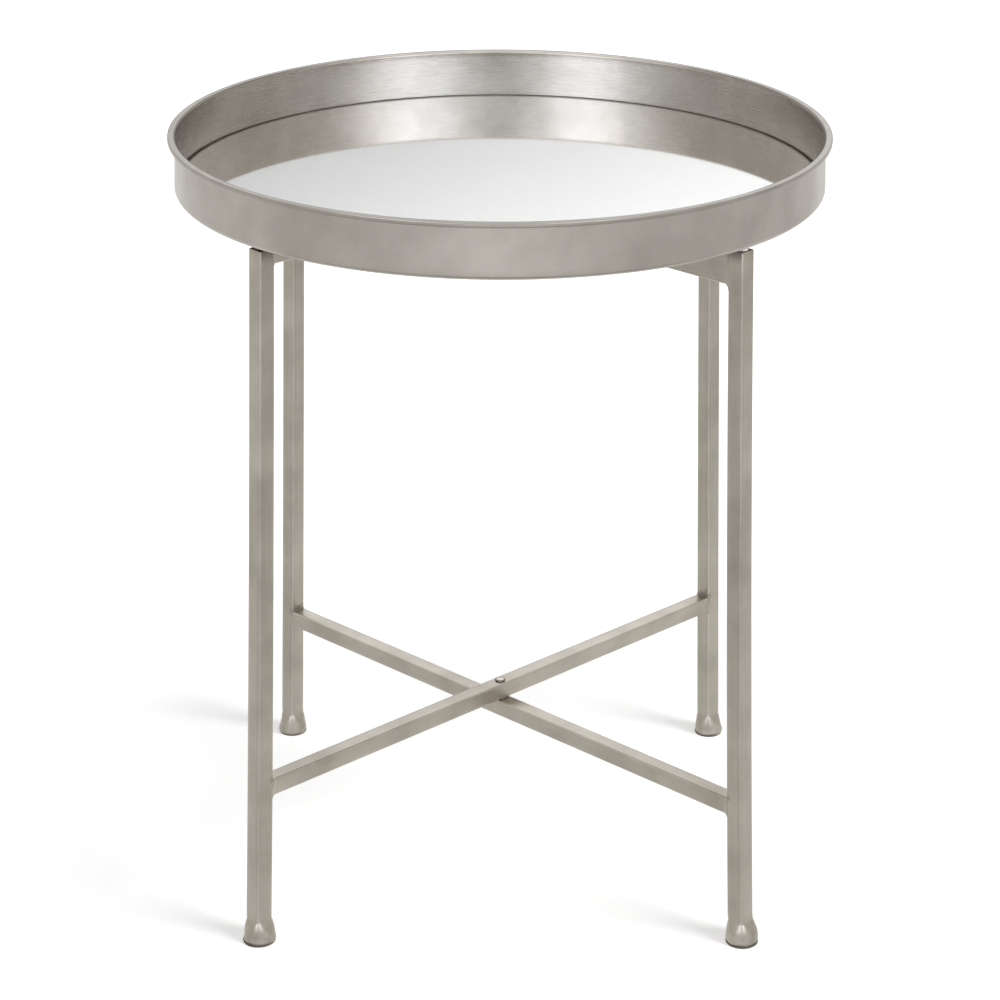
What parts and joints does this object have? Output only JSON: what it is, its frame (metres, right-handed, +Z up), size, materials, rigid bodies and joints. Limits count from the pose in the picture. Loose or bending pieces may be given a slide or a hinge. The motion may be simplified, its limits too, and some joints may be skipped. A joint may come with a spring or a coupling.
{
  "type": "folding tray table",
  "caption": "Round mirrored metal tray with a raised rolled rim, resting on a folding base of crossing square-tube frames with bell feet.",
  "frame": {"origin": "on the floor plane, on the vertical axis through the tray's centre, which is also the pivot axis of the two frames", "axes": "+Z up; the front, with the frames opened to their rest angle, faces -Y; +X is the right side seen from the front"},
  "size_m": [0.48, 0.48, 0.5086],
  "materials": {
    "frame_metal": "satin, brushed along the tube, warm silver with mottled tone",
    "tray_metal": "satin, brushed round the wall, warm silver with mottled tone",
    "mirror": "clear silvered glass",
    "adhesive": "pale adhesive film",
    "clear_bumper": "translucent soft polyurethane",
    "glide_pad": "matte dark pad",
    "end_plug": "matte black",
    "rivet_metal": "satin, with the frame's finish",
    "washer_metal": "plain plated steel"
  },
  "bodies": {
    "slim_rail_frame": {"slim_top_rail": "frame_metal", "upper_stretcher": "frame_metal", "front_left_leg": "frame_metal", "front_left_foot": "frame_metal", "front_left_glide": "glide_pad", "front_left_plug": "end_plug", "front_left_bumper": "clear_bumper", "back_right_leg": "frame_metal", "back_right_foot": "frame_metal", "back_right_glide": "glide_pad", "back_right_plug": "end_plug", "back_right_bumper": "clear_bumper", "top_pivot_rivet": "rivet_metal", "top_pivot_washer": "washer_metal", "stretcher_pivot_rivet": "rivet_metal", "stretcher_pivot_washer": "washer_metal"},
    "deep_rail_frame": {"deep_top_rail": "frame_metal", "lower_stretcher": "frame_metal", "front_right_leg": "frame_metal", "front_right_foot": "frame_metal", "front_right_glide": "glide_pad", "front_right_plug": "end_plug", "front_right_bumper": "clear_bumper", "back_left_leg": "frame_metal", "back_left_foot": "frame_metal", "back_left_glide": "glide_pad", "back_left_plug": "end_plug", "back_left_bumper": "clear_bumper"},
    "tray": {"tray_pan": "tray_metal", "mirror_adhesive": "adhesive", "mirror_glass": "mirror"}
  },
  "joints": [
    {"name": "frame_fold", "type": "hinge", "parent": "slim_rail_frame", "child": "deep_rail_frame", "pos_m": [0, 0, 0.2], "axis": [0, 0, 1], "range_deg": [-84, 77]},
    {"name": "tray_lift", "type": "slide", "parent": "slim_rail_frame", "child": "tray", "axis": [0, 0, 1], "range_m": [0, 0.25]}
  ]
}
